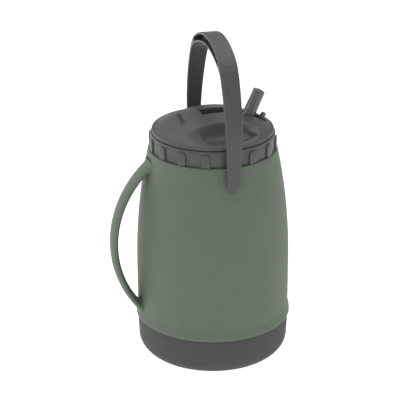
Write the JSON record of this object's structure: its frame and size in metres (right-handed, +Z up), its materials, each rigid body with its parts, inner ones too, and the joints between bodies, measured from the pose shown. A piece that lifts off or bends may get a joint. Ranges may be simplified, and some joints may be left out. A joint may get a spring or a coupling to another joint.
{
  "type": "insulated drinks jug",
  "caption": "Steel vacuum jug with a side handle, a swinging bail, a rubber boot and a screw lid with a flip-up drinking spout.",
  "frame": {"origin": "centre of the boot's underside, on the surface that the jug stands on", "axes": "+Z up along the vessel's axis, the side handle towards -X, the raised spout leans towards +X, and the bail turns about an axis along Y"},
  "size_m": [0.1968, 0.1676, 0.3543],
  "materials": {
    "shell_paint": "matt sage-green powder coat with a fine grain",
    "liner_steel": "brushed stainless steel",
    "getter_metal": "dull sintered metal",
    "boot_rubber": "matt dark-grey rubber",
    "pin_steel": "turned stainless steel",
    "bush_plastic": "natural grey bearing plastic",
    "bail_plastic": "satin dark-grey moulded plastic",
    "lid_plastic": "satin dark-grey moulded plastic",
    "plug_plastic": "smooth dark-grey moulded plastic",
    "foam": "white closed-cell foam",
    "seal_rubber": "soft translucent-grey silicone",
    "spout_plastic": "semi-gloss grey moulded plastic",
    "straw_plastic": "natural polypropylene"
  },
  "bodies": {
    "jug": {"outer_shell": "shell_paint", "side_handle": "shell_paint", "inner_liner": "liner_steel", "vessel_base_plate": "liner_steel", "vacuum_port_plug": "liner_steel", "vacuum_getter": "getter_metal", "base_boot": "boot_rubber", "bail_stud_front": "pin_steel", "bail_stud_rear": "pin_steel", "bail_washer_front": "bush_plastic", "bail_washer_rear": "bush_plastic"},
    "bail": {"bail_handle": "bail_plastic", "bail_bush_front": "bush_plastic", "bail_bush_rear": "bush_plastic"},
    "lid": {"lid_dome": "lid_plastic", "lid_plug": "plug_plastic", "lid_foam_blocks": "foam", "lid_foam_disc": "foam", "lid_gasket": "seal_rubber", "spout_seat_seal": "seal_rubber", "vent_valve": "seal_rubber", "spout_hinge_pin": "pin_steel", "dip_straw": "straw_plastic"},
    "screw_ring": {"lid_screw_ring": "lid_plastic"},
    "spout": {"spout": "spout_plastic"}
  },
  "joints": [
    {"name": "bail_swing", "type": "hinge", "parent": "jug", "child": "bail", "pos_m": [0, 0, 0.2155], "axis": [0, 1, 0], "range_deg": [-114, 130]},
    {"name": "lid_lift", "type": "slide", "parent": "jug", "child": "lid", "axis": [0, 0, 1], "range_m": [0, 0.008]},
    {"name": "lid_turn", "type": "hinge", "parent": "lid", "child": "screw_ring", "pos_m": [0, 0, 0.24], "axis": [0, 0, 1], "range_deg": [0, 540]},
    {"name": "spout_flip", "type": "hinge", "parent": "lid", "child": "spout", "pos_m": [0.0326, 0, 0.2505], "axis": [0, -1, 0], "range_deg": [0, 115]}
  ],
  "couplings": [
    {"joint": "lid_lift", "follows": "lid_turn", "m_per_rad": 0.00079577}
  ]
}
